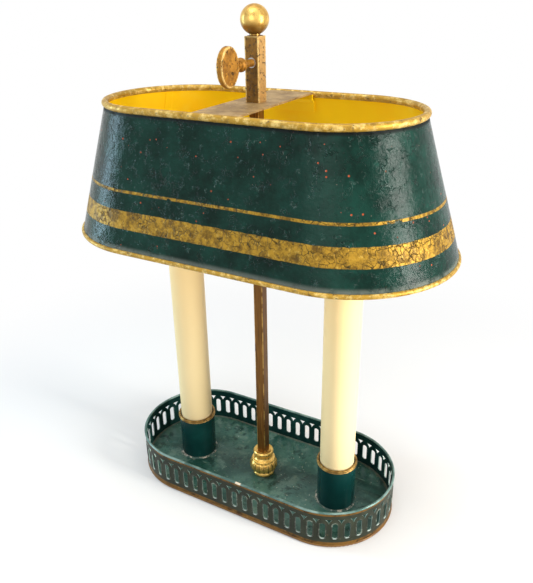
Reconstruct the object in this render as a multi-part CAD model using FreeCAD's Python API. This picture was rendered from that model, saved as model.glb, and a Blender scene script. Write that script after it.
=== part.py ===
"""A bouillotte lamp: a pierced tin tray with a weighted base, two candle lights, and a painted
tin shade that slides on a square brass rod and is clamped there by a key.

Millimetres, +Z up. The origin is on the table, under the axis of the rod. +X runs along the
tray, and the key points to -Y, the front.
"""

import FreeCAD
import Part
import math
import os

os.makedirs("parts", exist_ok=True)
V = FreeCAD.Vector
UP = V(0, 0, 1)

# The whole lamp and its tin sheet
lamp_height = 450.0
tin_sheet = 0.8
solder_gap = 0.05

# Tray and pierced gallery
tray_length = 270.0
tray_width = 124.8
gallery_height = 41.4
rim_bead_radius = 1.1
slot_pitch = 11.25
slot_start = 2.9
slot_width = 5.1
slot_bottom = 11.0
slot_top = 28.6
spandrel_width = 6.8
spandrel_top = 33.0
spandrel_depth = 5.4
spandrel_side_curve = 0.6

# Weighted base under the tray's floor
felt_thickness = 1.0
felt_proud = 0.4
felt_inset = 0.8
ballast_thickness = 3.2
ballast_clearance = 0.3
channel_clearance = 0.3

# Cord inlet in the back of the gallery
inlet_bore_width = 5.6
inlet_bore_height = 2.4
inlet_bush_wall = 0.35
inlet_flange = 0.6

# Rod, its foot and its nut
rod_side = 9.0
rod_edge_radius = 0.6
tenon_diameter = 8.0
tenon_clearance = 0.1
tenon_end_gap = 0.4
stem_nut_flats = 13.0
stem_nut_height = 2.0
stem_washer_diameter = 16.0
stem_washer_height = 0.6

# Gadrooned boss at the foot of the rod
boss_height = 29.0
boss_foot_diameter = 20.0
boss_foot_height = 3.0
boss_foot_swell = 0.75
boss_waist_diameter = 18.4
boss_waist_height = 4.0
boss_bulge_diameter = 28.2
boss_bulge_height = 10.6
boss_shoulder_diameter = 22.4
boss_shoulder_height = 17.2
boss_collar_height = 2.0
boss_collar_swell = 0.7
boss_neck_diameter = 16.6
boss_neck_height = 22.0
boss_flange_diameter = 20.8
boss_flange_height = 24.4
boss_dish_depth = 1.6
gadroon_count = 18
gadroon_groove_radius = 0.9

# Ball on top of the rod
ball_diameter = 22.0
ball_neck_diameter = 8.4
ball_seat_gap = 0.2
stud_diameter = 5.0
stud_length = 16.0
stud_in_ball = 7.0

# Candle cups
candle_spacing = 162.0
cup_diameter = 36.4
cup_height = 48.2
cup_rim_height = 3.2
cup_rim_swell = 1.1

# Candle tubes
candle_diameter = 32.5
candle_wall = 1.2
candle_top = 268.0

# Threaded riser and its nuts
riser_diameter = 10.0
riser_bore = 7.0
riser_clearance = 0.05
riser_nut_flats = 14.0
riser_nut_height = 2.4
riser_end_gap = 0.4
cup_nut_height = 3.0

# Lampholders
holder_diameter = 28.4
holder_height = 44.0
holder_drop = 1.5
holder_wall = 0.45
holder_base = 14.0
holder_thread_depth = 8.0
screw_shell_wall = 0.45
screw_shell_clearance = 0.05
contact_diameter = 7.0
contact_height = 1.6

# Candle bulbs
cap_clearance = 0.15
cap_height = 24.0
cap_taper = 5.0
glass_diameter = 35.0
glass_length = 76.0
glass_wall = 0.8
glass_neck_diameter = 22.0
glass_tip_radius = 4.5
glass_belly_height = 24.82
glass_neck_swell = 0.78
glass_tip_swell = 1.82
glass_in_cap = 3.0
mount_stem_diameter = 5.0
mount_stem_height = 22.0
filament_diameter = 0.6
filament_span = 12.0
filament_rise = 12.0

# Leads from the inlet to the lampholders
lead_diameter = 2.0
lead_pair_pitch = 2.6
lead_offset = 12.0
lead_turn_radius = 12.0
lead_rise_radius = 4.5

# Shade, measured to the middle of its sheet
shade_top_length = 271.0
shade_top_width = 130.0
shade_bottom_length = 338.8
shade_bottom_width = 177.2
shade_rise = 109.2
shade_cove_height = 4.6
shade_cove_out = 1.3
top_bead_radius = 2.75
bottom_bead_radius = 1.9

# Bridge across the top of the shade
bridge_width = 40.0
bridge_sheet = 1.4
bridge_over_bead = 1.9
bridge_tab_depth = 17.0
bridge_tab_under_bead = 1.0
bridge_tab_set_back = 3.0

# Sleeve that slides on the rod
sleeve_side = 12.0
sleeve_length = 48.6
slide_clearance = 0.25
stop_gap = 0.6

# Key that clamps the sleeve
key_rise = 29.7
key_shank_diameter = 5.6
key_clearance = 0.05
key_bush_wall = 0.9
key_bush_proud = 0.5
pad_diameter = 4.4
pad_height = 0.8
pad_stem_diameter = 2.4
pad_stem_length = 3.0
pad_gap = 0.05
key_shank_end = 18.5
key_bead_diameter = 10.4
key_bead_length = 7.0
key_neck_diameter = 7.0
key_neck_length = 2.5
paddle_height = 29.4
paddle_width = 24.0
paddle_thickness = 5.4
paddle_root_height = 11.0

# Heights that follow from the sizes above
wall_foot = felt_thickness - felt_proud
ballast_top = felt_thickness + ballast_thickness
floor_top = ballast_top + tin_sheet
rim_bead_z = gallery_height - rim_bead_radius
foot_bead_z = wall_foot + rim_bead_radius
boss_top = floor_top + boss_height
rod_shoulder = boss_top - boss_dish_depth
ball_z = lamp_height - ball_diameter / 2
rod_top = lamp_height - ball_diameter - ball_seat_gap
sleeve_top = rod_top - stop_gap + ball_seat_gap
bridge_top = sleeve_top - sleeve_length
shade_top = bridge_top - bridge_over_bead
shade_bottom = shade_top - shade_rise
key_z = bridge_top + key_rise
cup_floor_top = floor_top + tin_sheet
cup_top = floor_top + cup_height
holder_top = candle_top - holder_drop
holder_bottom = holder_top - holder_height
holder_cavity_z = holder_bottom + holder_base
contact_top = holder_cavity_z + contact_height
cap_top = contact_top + cap_height
glass_bottom = cap_top - glass_in_cap
glass_top = glass_bottom + glass_length
inlet_z = ballast_top - inlet_bush_wall - inlet_bore_height / 2

# Half sizes of the tray's wall and of the shade
tray_half_length = tray_length / 2
tray_half_width = tray_width / 2
tray_inner_half_length = tray_half_length - tin_sheet
tray_inner_half_width = tray_half_width - tin_sheet
bead_bulge = rim_bead_radius - tin_sheet / 2
rod_half = rod_side / 2
sleeve_bore_half = rod_half + slide_clearance
sleeve_half = sleeve_side / 2
tenon_radius = tenon_diameter / 2
riser_radius = riser_diameter / 2
candle_inner_radius = candle_diameter / 2 - candle_wall
cup_inner_radius = cup_diameter / 2 - tin_sheet


def save(name, shape):
    """Writes one piece, or a group of like pieces, as one node."""
    if not shape.isValid():
        shape.fix(1e-5, 1e-6, 1e-4)
    shape.exportStep("parts/" + name + ".step")
    print(name, len(shape.Solids), round(shape.Volume, 1), shape.isValid())


def block(x0, x1, y0, y1, z0, z1):
    """A square-edged block between six planes."""
    return Part.makeBox(x1 - x0, y1 - y0, z1 - z0, V(x0, y0, z0))


def rod(radius, z0, z1, x=0.0, y=0.0):
    """An upright cylinder."""
    return Part.makeCylinder(radius, z1 - z0, V(x, y, z0), UP)


def tube(outer, inner, z0, z1, x=0.0, y=0.0):
    """An upright round tube."""
    return rod(outer, z0, z1, x, y).cut(rod(inner, z0, z1, x, y))


def turned(profile, x=0.0):
    """A lathe-turned piece: a closed outline of (radius, height) points turned about an upright axis."""
    points = [V(x + r, 0, z) for r, z in profile]
    face = Part.Face(Part.makePolygon(points + points[:1]))
    return face.revolve(V(x, 0, 0), UP, 360)


def hexagon(flats, z0, z1, x=0.0):
    """A hexagonal prism, by the distance across its flats."""
    corner = flats / math.sqrt(3)
    points = [V(x + corner * math.cos(a), corner * math.sin(a), z0)
              for a in (math.radians(60 * i) for i in range(7))]
    return Part.Face(Part.makePolygon(points)).extrude(V(0, 0, z1 - z0))


def oval_wire(half_length, half_width, z):
    """A level oval outline with straight sides and round ends, each end in two quarter arcs."""
    s = half_length - half_width
    w = half_width
    d = w * math.sqrt(0.5)

    def arc(a, b, c):
        return Part.Arc(V(*a, z), V(*b, z), V(*c, z)).toShape()

    def line(a, b):
        return Part.makeLine(V(*a, z), V(*b, z))

    return Part.Wire([
        line((-s, -w), (s, -w)),
        arc((s, -w), (s + d, -d), (s + w, 0)),
        arc((s + w, 0), (s + d, d), (s, w)),
        line((s, w), (-s, w)),
        arc((-s, w), (-s - d, d), (-s - w, 0)),
        arc((-s - w, 0), (-s - d, -d), (-s, -w)),
    ])


def oval_plate(half_length, half_width, z0, z1):
    """A level plate with straight sides and round ends."""
    return Part.Face(oval_wire(half_length, half_width, z0)).extrude(V(0, 0, z1 - z0))


def oval_bead(half_length, half_width, z, radius):
    """A round bead bent along an oval, made of two straight runs and two half rings."""
    s = half_length - half_width
    runs = [Part.makeCylinder(radius, 2 * s, V(-s, side * half_width, z), V(1, 0, 0)) for side in (-1, 1)]
    ends = []
    for side in (-1, 1):
        ring = Part.makeTorus(half_width, radius, V(0, 0, 0), UP, 0, 360, 180)
        ring.rotate(V(0, 0, 0), UP, -90 * side)
        ring.translate(V(side * s, 0, z))
        ends.append(ring)
    return runs[0].fuse([runs[1]] + ends)


def perimeter_place(half_length, half_width, d):
    """The place (x, y, degrees) at a distance round an oval, from the middle of its front."""
    s = half_length - half_width
    arc = math.pi * half_width
    d = d % (4 * s + 2 * arc)
    if d < s:
        return d, -half_width, 0
    if d < s + arc:
        a = (d - s) / half_width
        return s + half_width * math.sin(a), -half_width * math.cos(a), math.degrees(a)
    if d < 3 * s + arc:
        return 2 * s + arc - d, half_width, 180
    if d < 3 * s + 2 * arc:
        a = (d - 3 * s - arc) / half_width
        return -s - half_width * math.sin(a), half_width * math.cos(a), 180 + math.degrees(a)
    return d - 4 * s - 2 * arc, -half_width, 0


def placed(shape, place):
    """A copy of a piece made at the origin, turned and moved to a place on the perimeter."""
    x, y, degrees = place
    copy = shape.copy()
    copy.rotate(V(0, 0, 0), UP, degrees)
    copy.translate(V(x, y, 0))
    return copy


def slot_cutter(width, z0, z1, depth):
    """An upright slot with round ends, through the wall."""
    r = width / 2
    body = block(-r, r, -depth, depth, z0 + r, z1 - r)
    caps = [Part.makeCylinder(r, 2 * depth, V(0, -depth, z), V(0, 1, 0)) for z in (z0 + r, z1 - r)]
    return body.fuse(caps)


def spandrel_cutter(width, top, height, curve, depth):
    """The small piercing between two slots: flat on top, with hollow sides that meet in a point."""
    corners = [V(-width / 2, -depth, top), V(width / 2, -depth, top), V(0, -depth, top - height)]
    sides = [Part.makeLine(corners[0], corners[1])]
    for a, b, inwards in ((corners[1], corners[2], -1), (corners[2], corners[0], 1)):
        middle = (a + b) * 0.5 + V(inwards * curve, 0, curve * width / 2 / height)
        sides.append(Part.Arc(a, middle, b).toShape())
    return Part.Face(Part.Wire(sides)).extrude(V(0, 2 * depth, 0))


def inlet_oval(width, height, y0, y1):
    """A lying slot shape for the cord inlet, seated on the underside of the tray's floor."""
    r = height / 2
    s = width / 2 - r
    body = block(-s, s, y0, y1, inlet_z - r, inlet_z + r)
    caps = [Part.makeCylinder(r, y1 - y0, V(x, y0, inlet_z), V(0, 1, 0)) for x in (-s, s)]
    return body.fuse(caps)


def route(points, radii):
    """A wire through points, with a tangent arc of the given radius at each inner point."""
    edges = []
    start = points[0]
    for i, radius in enumerate(radii, 1):
        before = (points[i - 1] - points[i]).normalize()
        after = (points[i + 1] - points[i]).normalize()
        half_turn = (math.pi - before.getAngle(after)) / 2
        reach = radius * math.tan(half_turn)
        a = points[i] + before * reach
        b = points[i] + after * reach
        inwards = (before + after).normalize()
        middle = points[i] + inwards * (radius / math.cos(half_turn) - radius)
        edges.append(Part.makeLine(start, a))
        edges.append(Part.Arc(a, middle, b).toShape())
        start = b
    edges.append(Part.makeLine(start, points[-1]))
    return Part.Wire(edges)


def make_felt():
    """The felt that the lamp stands on, inside the foot of the gallery and a little proud of it."""
    inset = bead_bulge + felt_inset
    save("felt_pad", oval_plate(tray_inner_half_length - inset, tray_inner_half_width - inset, 0, felt_thickness))


def lead_points(side):
    """The corners of one lead's route: in from the inlet, along the base, and up one candle."""
    x0 = side * lead_pair_pitch / 2
    x1 = side * candle_spacing / 2
    return [
        V(x0, tray_inner_half_width - tin_sheet, inlet_z),
        V(x0, lead_offset, inlet_z),
        V(x1, lead_offset, inlet_z),
        V(x1, lead_offset, holder_bottom),
    ]


def lead_slot(side, z0, z1):
    """The slot that one lead rises through, long enough for its bend."""
    r = lead_diameter / 2 + channel_clearance
    x1 = side * candle_spacing / 2
    x0 = x1 - side * lead_rise_radius
    low, high = sorted((x0, x1))
    body = block(low, high, lead_offset - r, lead_offset + r, z0, z1)
    return body.fuse([rod(r, z0, z1, x, lead_offset) for x in (low, high)])


def make_ballast():
    """The iron weight under the floor, with pockets for the nuts and channels for the leads."""
    z0 = felt_thickness
    z1 = ballast_top
    inset = bead_bulge + ballast_clearance
    plate = oval_plate(tray_inner_half_length - inset, tray_inner_half_width - inset, z0, z1)
    lead_half = lead_diameter / 2 + channel_clearance
    pair_half = lead_pair_pitch / 2 + lead_half
    turn_half = lead_pair_pitch / 2 + lead_turn_radius
    reach = candle_spacing / 2
    stem_pocket = max(stem_nut_flats / math.sqrt(3), stem_washer_diameter / 2) + ballast_clearance
    riser_pocket = riser_nut_flats / math.sqrt(3) + ballast_clearance
    cutters = [
        rod(stem_pocket, z0, z1),
        block(-pair_half, pair_half, lead_offset, tray_half_width, z0, z1),
        block(-turn_half, turn_half, lead_offset - lead_half, lead_offset + lead_turn_radius, z0, z1),
        block(-reach, reach, lead_offset - lead_half, lead_offset + lead_half, z0, z1),
        inlet_oval(inlet_bore_width + 2 * (inlet_bush_wall + ballast_clearance),
                   inlet_bore_height + 2 * (inlet_bush_wall + ballast_clearance),
                   tray_inner_half_width - 4 * tin_sheet, tray_half_width),
    ]
    for side in (-1, 1):
        cutters.append(rod(riser_pocket, z0, z1, side * candle_spacing / 2))
        cutters.append(rod(lead_half, z0, z1, side * reach, lead_offset))
    save("ballast_plate", plate.cut(cutters))


def make_tray():
    """The tray: its floor, the pierced wall round it, and the bead along each edge of the wall."""
    floor = oval_plate(tray_inner_half_length, tray_inner_half_width, ballast_top, floor_top)
    holes = [rod(tenon_radius + tenon_clearance, ballast_top, floor_top)]
    for side in (-1, 1):
        holes.append(rod(riser_radius + riser_clearance, ballast_top, floor_top, side * candle_spacing / 2))
        holes.append(lead_slot(side, ballast_top, floor_top))
    save("tray_floor", floor.cut(holes))

    middle_length = tray_half_length - tin_sheet / 2
    middle_width = tray_half_width - tin_sheet / 2
    wall = oval_plate(tray_half_length, tray_half_width, foot_bead_z, rim_bead_z)
    wall = wall.cut(oval_plate(tray_inner_half_length, tray_inner_half_width, foot_bead_z, rim_bead_z))
    perimeter = 4 * (middle_length - middle_width) + 2 * math.pi * middle_width
    count = 2 * round(perimeter / slot_pitch / 2)
    depth = 2 * tin_sheet
    slot = slot_cutter(slot_width, slot_bottom, slot_top, depth)
    spandrel = spandrel_cutter(spandrel_width, spandrel_top, spandrel_depth, spandrel_side_curve, depth)
    cutters = []
    for i in range(2 * count):
        place = perimeter_place(middle_length, middle_width, slot_start + i * perimeter / count / 2)
        cutters.append(placed(spandrel if i % 2 else slot, place))
    inlet_hole = inlet_oval(inlet_bore_width + 2 * inlet_bush_wall, inlet_bore_height + 2 * inlet_bush_wall,
                            tray_inner_half_width - tin_sheet, tray_half_width + 2 * rim_bead_radius)
    save("gallery_wall", wall.cut(cutters).cut(inlet_hole))
    for name, z in (("gallery_rim_bead", rim_bead_z), ("gallery_foot_bead", foot_bead_z)):
        bead = oval_bead(middle_length, middle_width, z, rim_bead_radius)
        save(name, bead.cut([wall, inlet_hole]))


def make_inlet():
    """The bush in the back of the gallery that a cord comes in through."""
    outer_width = inlet_bore_width + 2 * inlet_bush_wall
    outer_height = inlet_bore_height + 2 * inlet_bush_wall
    back = tray_half_width + rim_bead_radius
    body = inlet_oval(outer_width, outer_height, tray_inner_half_width - tin_sheet, back)
    flange = inlet_oval(outer_width + 2 * inlet_flange, outer_height + 2 * inlet_flange, back, back + inlet_flange)
    bore = inlet_oval(inlet_bore_width, inlet_bore_height, tray_inner_half_width - tin_sheet, back + inlet_flange)
    save("cord_inlet_bush", body.fuse(flange).cut(bore))


def make_boss(bore):
    """The turned boss: a foot ring, a bulging body cut into lobes, a collar, a hollow neck and a dished flange."""
    foot = boss_foot_diameter / 2
    waist = boss_waist_diameter / 2
    bulge = boss_bulge_diameter / 2
    shoulder = boss_shoulder_diameter / 2
    neck = boss_neck_diameter / 2
    flange = boss_flange_diameter / 2
    seat = rod_half * math.sqrt(2)

    def at(radius, height):
        return V(radius, 0, floor_top + height)

    def between(a, b, radius):
        return at(radius, (a + b) / 2)

    body = (at(waist, boss_waist_height), at(bulge, boss_bulge_height), at(shoulder, boss_shoulder_height))
    collar_top = boss_shoulder_height + boss_collar_height
    lip = (flange - seat) / 3
    edges = [
        Part.makeLine(at(bore, 0), at(foot, 0)),
        Part.Arc(at(foot, 0), between(0, boss_foot_height, foot + boss_foot_swell),
                 at(foot, boss_foot_height)).toShape(),
        Part.makeLine(at(foot, boss_foot_height), body[0]),
        Part.Arc(*body).toShape(),
        Part.Arc(body[2], between(boss_shoulder_height, collar_top, shoulder + boss_collar_swell),
                 at(shoulder - boss_collar_swell, collar_top)).toShape(),
        Part.Arc(at(shoulder - boss_collar_swell, collar_top), at(neck, boss_neck_height),
                 at(neck + lip / 2, boss_flange_height)).toShape(),
        Part.Arc(at(neck + lip / 2, boss_flange_height), between(boss_flange_height, boss_height, flange),
                 at(flange - lip, boss_height)).toShape(),
        Part.makeLine(at(flange - lip, boss_height), V(seat, 0, rod_shoulder)),
        Part.makeLine(V(seat, 0, rod_shoulder), V(bore, 0, rod_shoulder)),
        Part.makeLine(V(bore, 0, rod_shoulder), at(bore, 0)),
    ]
    boss = Part.Face(Part.Wire(edges)).revolve(V(0, 0, 0), UP, 360)
    curve = Part.Arc(*body).toShape().Curve
    grooves = []
    for i in range(gadroon_count):
        ring = Part.makeTorus(curve.Radius + gadroon_groove_radius / 3, gadroon_groove_radius,
                              curve.Center, V(0, 1, 0))
        ring.rotate(V(0, 0, 0), UP, (i + 0.5) * 360 / gadroon_count)
        grooves.append(ring)
    band = tube(bulge + gadroon_groove_radius, waist, body[0].z, body[2].z)
    return boss.cut(Part.makeCompound(grooves).common(band))


def make_stem():
    """The square rod, the gadrooned boss at its foot, and what holds them down to the tray."""
    bottom = felt_thickness + tenon_end_gap
    square = block(-rod_half, rod_half, -rod_half, rod_half, rod_shoulder, rod_top)
    upright = [e for e in square.Edges if abs(e.Vertexes[0].X - e.Vertexes[1].X) < 1e-6
               and abs(e.Vertexes[0].Y - e.Vertexes[1].Y) < 1e-6]
    square = square.makeFillet(rod_edge_radius, upright)
    stem = square.fuse(rod(tenon_radius, bottom, rod_shoulder))
    stud_bottom = rod_top - stud_length + stud_in_ball
    save("stem_rod", stem.cut(rod(stud_diameter / 2, stud_bottom, rod_top)))

    bore = tenon_radius + tenon_clearance
    save("stem_boss", make_boss(bore))
    save("stem_washer", tube(stem_washer_diameter / 2, bore, ballast_top - stem_washer_height, ballast_top))
    nut_top = ballast_top - stem_washer_height
    nut = hexagon(stem_nut_flats, nut_top - stem_nut_height, nut_top)
    save("stem_nut", nut.cut(rod(tenon_radius, nut_top - stem_nut_height, nut_top)))


def make_ball():
    """The ball on top of the rod, with its short neck and the stud that holds it."""
    ball = Part.makeSphere(ball_diameter / 2, V(0, 0, ball_z))
    neck = rod(ball_neck_diameter / 2, rod_top, ball_z)
    hole = rod(stud_diameter / 2, rod_top, rod_top + stud_in_ball)
    save("ball_finial", ball.fuse(neck).cut(hole))
    save("finial_stud", rod(stud_diameter / 2, rod_top - stud_length + stud_in_ball, rod_top + stud_in_ball))


def make_candle(name, side):
    """One candle light: the cup, the tube, the riser with its nuts, the lampholder and the bulb."""
    x = side * candle_spacing / 2
    cup_radius = cup_diameter / 2
    cup = rod(cup_radius, floor_top, cup_top - tin_sheet, x).cut(
        rod(cup_inner_radius, cup_floor_top, cup_top, x))
    cup = cup.cut([rod(riser_radius + riser_clearance, floor_top, cup_floor_top, x),
                   lead_slot(side, floor_top, cup_floor_top)])
    save("candle_cup_" + name, cup)

    rim_bottom = cup_top - cup_rim_height
    outer = cup_radius + cup_rim_swell
    bevel = cup_rim_swell / 2
    save("cup_rim_" + name, turned([
        (cup_radius, rim_bottom),
        (outer - bevel, rim_bottom),
        (outer, rim_bottom + bevel),
        (outer - bevel, rim_bottom + cup_rim_height / 2),
        (outer, cup_top - bevel),
        (outer - bevel, cup_top),
        (cup_inner_radius, cup_top),
        (cup_inner_radius, cup_top - tin_sheet),
        (cup_radius, cup_top - tin_sheet),
    ], x))

    save("candle_tube_" + name, tube(candle_diameter / 2, candle_inner_radius, cup_floor_top, candle_top, x))

    riser_top = holder_bottom + holder_thread_depth
    save("riser_pipe_" + name, tube(riser_radius, riser_bore / 2, felt_thickness + riser_end_gap, riser_top, x))
    for nut, low, height in (("riser_nut_", ballast_top - riser_nut_height, riser_nut_height),
                             ("cup_nut_", cup_floor_top, cup_nut_height)):
        body = hexagon(riser_nut_flats, low, low + height, x)
        save(nut + name, body.cut(rod(riser_radius, low, low + height, x)))

    body = rod(holder_diameter / 2, holder_bottom, holder_top, x)
    cavity = holder_diameter / 2 - holder_wall
    body = body.cut([rod(cavity, holder_cavity_z, holder_top, x),
                     rod(riser_radius, holder_bottom, riser_top, x)])
    save("lampholder_" + name, body)
    shell_outer = cavity - screw_shell_clearance
    shell_inner = shell_outer - screw_shell_wall
    save("screw_shell_" + name, tube(shell_outer, shell_inner, holder_cavity_z, holder_top, x))
    save("centre_contact_" + name, rod(contact_diameter / 2, holder_cavity_z, contact_top, x))

    cap_radius = shell_inner - cap_clearance
    glass_neck = glass_neck_diameter / 2
    save("bulb_cap_" + name, turned([
        (0, contact_top),
        (contact_diameter / 2, contact_top),
        (cap_radius, contact_top + cap_taper),
        (cap_radius, cap_top),
        (glass_neck, cap_top),
        (glass_neck, glass_bottom),
        (0, glass_bottom),
    ], x))
    make_bulb(name, x)

    wire = route(lead_points(side), (lead_turn_radius, lead_rise_radius))
    start = lead_points(side)[0]
    section = Part.Wire(Part.makeCircle(lead_diameter / 2, start, V(0, 1, 0)))
    save("supply_lead_" + name, wire.makePipeShell([section], True, False))


def glass_outline(x, inset):
    """The outline of a candle bulb's glass: a straight neck, a swelling body and a rounded tip."""
    neck = glass_neck_diameter / 2 - inset
    belly = glass_diameter / 2 - inset
    tip = glass_tip_radius - inset
    bottom = glass_bottom + inset
    top = glass_top - inset
    neck_top = cap_top
    belly_z = neck_top + glass_belly_height
    tip_z = glass_top - glass_tip_radius
    lean = math.sqrt(0.5)
    swell = (neck + belly) / 2 + glass_neck_swell
    taper = (belly + tip) / 2 + glass_tip_swell
    edges = [
        Part.makeLine(V(x, 0, bottom), V(x + neck, 0, bottom)),
        Part.makeLine(V(x + neck, 0, bottom), V(x + neck, 0, neck_top)),
        Part.Arc(V(x + neck, 0, neck_top), V(x + swell, 0, (neck_top + belly_z) / 2),
                 V(x + belly, 0, belly_z)).toShape(),
        Part.Arc(V(x + belly, 0, belly_z), V(x + taper, 0, (belly_z + tip_z) / 2),
                 V(x + tip, 0, tip_z)).toShape(),
        Part.Arc(V(x + tip, 0, tip_z), V(x + tip * lean, 0, tip_z + tip * lean), V(x, 0, top)).toShape(),
        Part.makeLine(V(x, 0, top), V(x, 0, bottom)),
    ]
    return Part.Face(Part.Wire(edges)).revolve(V(x, 0, 0), UP, 360)


def make_bulb(name, x):
    """A candle bulb's glass, and the glass stem and filament inside it."""
    save("bulb_glass_" + name, glass_outline(x, 0).cut(glass_outline(x, glass_wall)))
    stem_bottom = glass_bottom + glass_wall
    stem_top = stem_bottom + mount_stem_height
    wire = filament_diameter / 2
    top = stem_top + filament_rise
    stem = rod(mount_stem_diameter / 2, stem_bottom, stem_top, x)
    arms = []
    for side in (-1, 1):
        foot = V(x + side * mount_stem_diameter / 4, 0, stem_top - 2 * filament_diameter)
        head = V(x + side * filament_span / 2, 0, top)
        along = head - foot
        arms.append(Part.makeCylinder(wire, along.Length, foot, along))
        arms.append(Part.makeSphere(wire, head))
    arms.append(Part.makeCylinder(wire, filament_span, V(x - filament_span / 2, 0, top), V(1, 0, 0)))
    save("bulb_filament_" + name, stem.fuse(arms))


def shade_half_sizes(z):
    """The half length and half width of the shade's sheet, at the middle of its thickness."""
    top = (shade_top_length / 2, shade_top_width / 2)
    bottom = (shade_bottom_length / 2, shade_bottom_width / 2)
    cove_top = shade_bottom + shade_cove_height
    share = (shade_top - z) / (shade_top - cove_top)
    sizes = [a + (b - shade_cove_out - a) * share for a, b in zip(top, bottom)]
    if z < cove_top:
        sizes = [a + (b - shade_cove_out - a) for a, b in zip(top, bottom)]
        flare = (cove_top - z) / shade_cove_height
        sizes = [s + shade_cove_out * flare for s in sizes]
    return sizes


def shade_solid(offset):
    """The shade filled solid, with its outside moved out by an offset."""
    levels = (shade_top, shade_bottom + shade_cove_height, shade_bottom)
    wires = []
    for z in levels:
        half_length, half_width = shade_half_sizes(z)
        wires.append(oval_wire(half_length + offset, half_width + offset, z))
    return Part.makeLoft(wires, True, True)


def strip(points, sheet, half_width):
    """A bent strip: a sheet that follows points (y, z) and runs across X."""
    normals = []
    for (y0, z0), (y1, z1) in zip(points, points[1:]):
        length = math.hypot(y1 - y0, z1 - z0)
        normals.append(((z1 - z0) / length, -(y1 - y0) / length))
    sides = [[], []]
    for i, (y, z) in enumerate(points):
        a = normals[max(i - 1, 0)]
        b = normals[min(i, len(normals) - 1)]
        stretch = sheet / 2 / (1 + a[0] * b[0] + a[1] * b[1])
        dy = (a[0] + b[0]) * stretch
        dz = (a[1] + b[1]) * stretch
        sides[0].append(V(-half_width, y + dy, z + dz))
        sides[1].append(V(-half_width, y - dy, z - dz))
    outline = sides[0] + sides[1][::-1]
    face = Part.Face(Part.makePolygon(outline + outline[:1]))
    return face.extrude(V(2 * half_width, 0, 0))


def make_shade():
    """The painted shade and the bead round each of its edges."""
    shell = shade_solid(tin_sheet / 2).cut(shade_solid(-tin_sheet / 2))
    save("shade_shell", shell)
    for name, z, radius in (("shade_top_bead", shade_top, top_bead_radius),
                            ("shade_bottom_bead", shade_bottom, bottom_bead_radius)):
        half_length, half_width = shade_half_sizes(z)
        save(name, oval_bead(half_length, half_width, z, radius).cut(shell))


def make_bridge():
    """The strip across the top of the shade, with an end turned down inside each long side."""
    middle = bridge_top - bridge_sheet / 2
    edge = shade_top_width / 2 - top_bead_radius - solder_gap - bridge_sheet / 2
    under = shade_top - top_bead_radius - bridge_tab_under_bead

    def wall(z):
        slope = (shade_half_sizes(z - 1)[1] - shade_half_sizes(z)[1])
        return shade_half_sizes(z)[1] - tin_sheet / 2 - (bridge_sheet / 2 + solder_gap) * math.hypot(1, slope)

    set_back = under - bridge_tab_set_back
    end = bridge_top - bridge_tab_depth
    half = [(edge, middle), (edge, under), (wall(set_back), set_back), (wall(end), end)]
    points = [(-y, z) for y, z in half[::-1]] + half
    bore = sleeve_bore_half
    hole = block(-bore, bore, -bore, bore, bridge_top - bridge_sheet, bridge_top)
    save("shade_bridge", strip(points, bridge_sheet, bridge_width / 2).cut(hole))


def across(radius, y0, y1):
    """A round bar along the key's axis, between two distances in front of the rod's axis."""
    return Part.makeCylinder(radius, y1 - y0, V(0, -y0, key_z), V(0, -1, 0))


def make_sleeve():
    """The square sleeve on the bridge, and the threaded bush for the key."""
    side = sleeve_half
    bore = sleeve_bore_half
    sleeve = block(-side, side, -side, side, bridge_top, sleeve_top)
    sleeve = sleeve.cut(block(-bore, bore, -bore, bore, bridge_top, sleeve_top))
    bush_bore = key_shank_diameter / 2 + key_clearance
    bush_radius = bush_bore + key_bush_wall
    save("shade_sleeve", sleeve.cut(across(bush_radius, bore - slide_clearance, side)))
    bush = across(bush_radius, bore, side + key_bush_proud)
    save("sleeve_bush", bush.cut(across(bush_bore, bore, side + key_bush_proud)))


def make_key():
    """The key: a threaded shank with a bead, a flat round paddle, and the pad at its tip."""
    pad_face = rod_half + pad_gap
    pad_back = pad_face + pad_height
    stem_end = pad_back + pad_stem_length
    pad = across(pad_diameter / 2, pad_face, pad_back).fuse(across(pad_stem_diameter / 2, pad_back, stem_end))
    save("tip_pad", pad)

    start = pad_back + pad_gap
    shank = key_shank_diameter / 2
    neck = key_neck_diameter / 2
    bead_end = key_shank_end + key_bead_length
    neck_end = bead_end + key_neck_length
    corners = [V(0, -start, 0), V(shank, -start, 0), V(shank, -key_shank_end, 0),
               V(neck, -bead_end, 0), V(neck, -neck_end, 0), V(0, -neck_end, 0)]
    swell = V(key_bead_diameter / 2, -(key_shank_end + bead_end) / 2, 0)
    outline = [Part.makeLine(a, b) for a, b in zip(corners, corners[1:] + corners[:1])]
    outline[2] = Part.Arc(corners[2], swell, corners[3]).toShape()
    screw = Part.Face(Part.Wire(outline)).revolve(V(0, 0, 0), V(0, 1, 0), 360)
    screw.translate(V(0, 0, key_z))
    socket = across(pad_stem_diameter / 2 + key_clearance, start, stem_end + pad_gap)
    save("key_screw", screw.cut(socket))

    half = paddle_thickness / 2
    centre = neck_end + paddle_width / 2
    ellipse = Part.Ellipse(V(-half, -centre, key_z + paddle_height / 2), V(-half, -centre - paddle_width / 2, key_z),
                           V(-half, -centre, key_z))
    disc = Part.Face(Part.Wire(ellipse.toShape())).extrude(V(paddle_thickness, 0, 0))
    root = paddle_root_height / 2
    base = V(-half, -bead_end - key_neck_length / 2, key_z)
    web = [base + V(0, 0, -neck), base + V(0, 0, neck), V(-half, -centre + paddle_width / 4, key_z + root),
           V(-half, -centre + paddle_width / 4, key_z - root)]
    web = Part.Face(Part.makePolygon(web + web[:1])).extrude(V(paddle_thickness, 0, 0))
    paddle = disc.fuse(web).cut(across(neck, bead_end, neck_end))
    save("key_paddle", paddle)


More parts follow.
